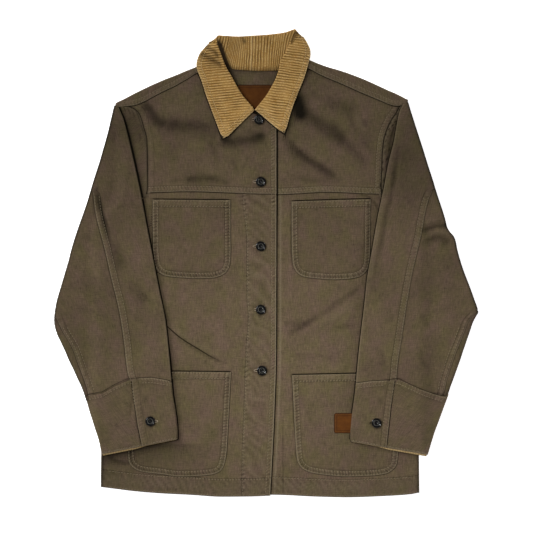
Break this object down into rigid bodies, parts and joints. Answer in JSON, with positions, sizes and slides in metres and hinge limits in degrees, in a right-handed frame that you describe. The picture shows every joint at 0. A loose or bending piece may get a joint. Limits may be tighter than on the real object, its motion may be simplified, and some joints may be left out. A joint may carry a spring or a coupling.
{
  "type": "chore jacket",
  "caption": "Long-sleeved work jacket laid flat and buttoned, sleeves brought in over the fronts, with a corduroy collar, patch pockets and buttoned cuffs.",
  "frame": {"origin": "middle of the jacket's length and width, on the surface that it lies on", "axes": "+X to the wearer's left (the right of a view from above), +Y from the hem to the collar, +Z out of the front"},
  "size_m": [0.7288, 0.8051, 0.0195],
  "materials": {
    "twill": "matte olive-brown cotton twill",
    "corduroy": "tan wide-wale corduroy",
    "leather": "brown, satin, bare",
    "button": "black, dished"
  },
  "bodies": {
    "root": {"back_panel": "twill", "back_yoke": "twill", "front_right": "twill", "front_left": "twill", "yoke_right": "twill", "yoke_left": "twill", "chest_pocket_right": "twill", "chest_pocket_left": "twill", "hip_pocket_right": "twill", "hip_pocket_left": "twill", "sleeve_front_right": "twill", "sleeve_front_left": "twill", "sleeve_elbow_right": "twill", "sleeve_elbow_left": "twill", "sleeve_under_right": "twill", "sleeve_under_left": "twill", "cuff_right": "twill", "cuff_left": "twill", "cuff_facing_right": "corduroy", "cuff_facing_left": "corduroy", "collar": "corduroy", "neck_label": "leather", "pocket_label": "leather", "button_1": "button", "button_2": "button", "button_3": "button", "button_4": "button", "button_5": "button", "cuff_button_right": "button", "cuff_button_left": "button"}
  },
  "joints": []
}
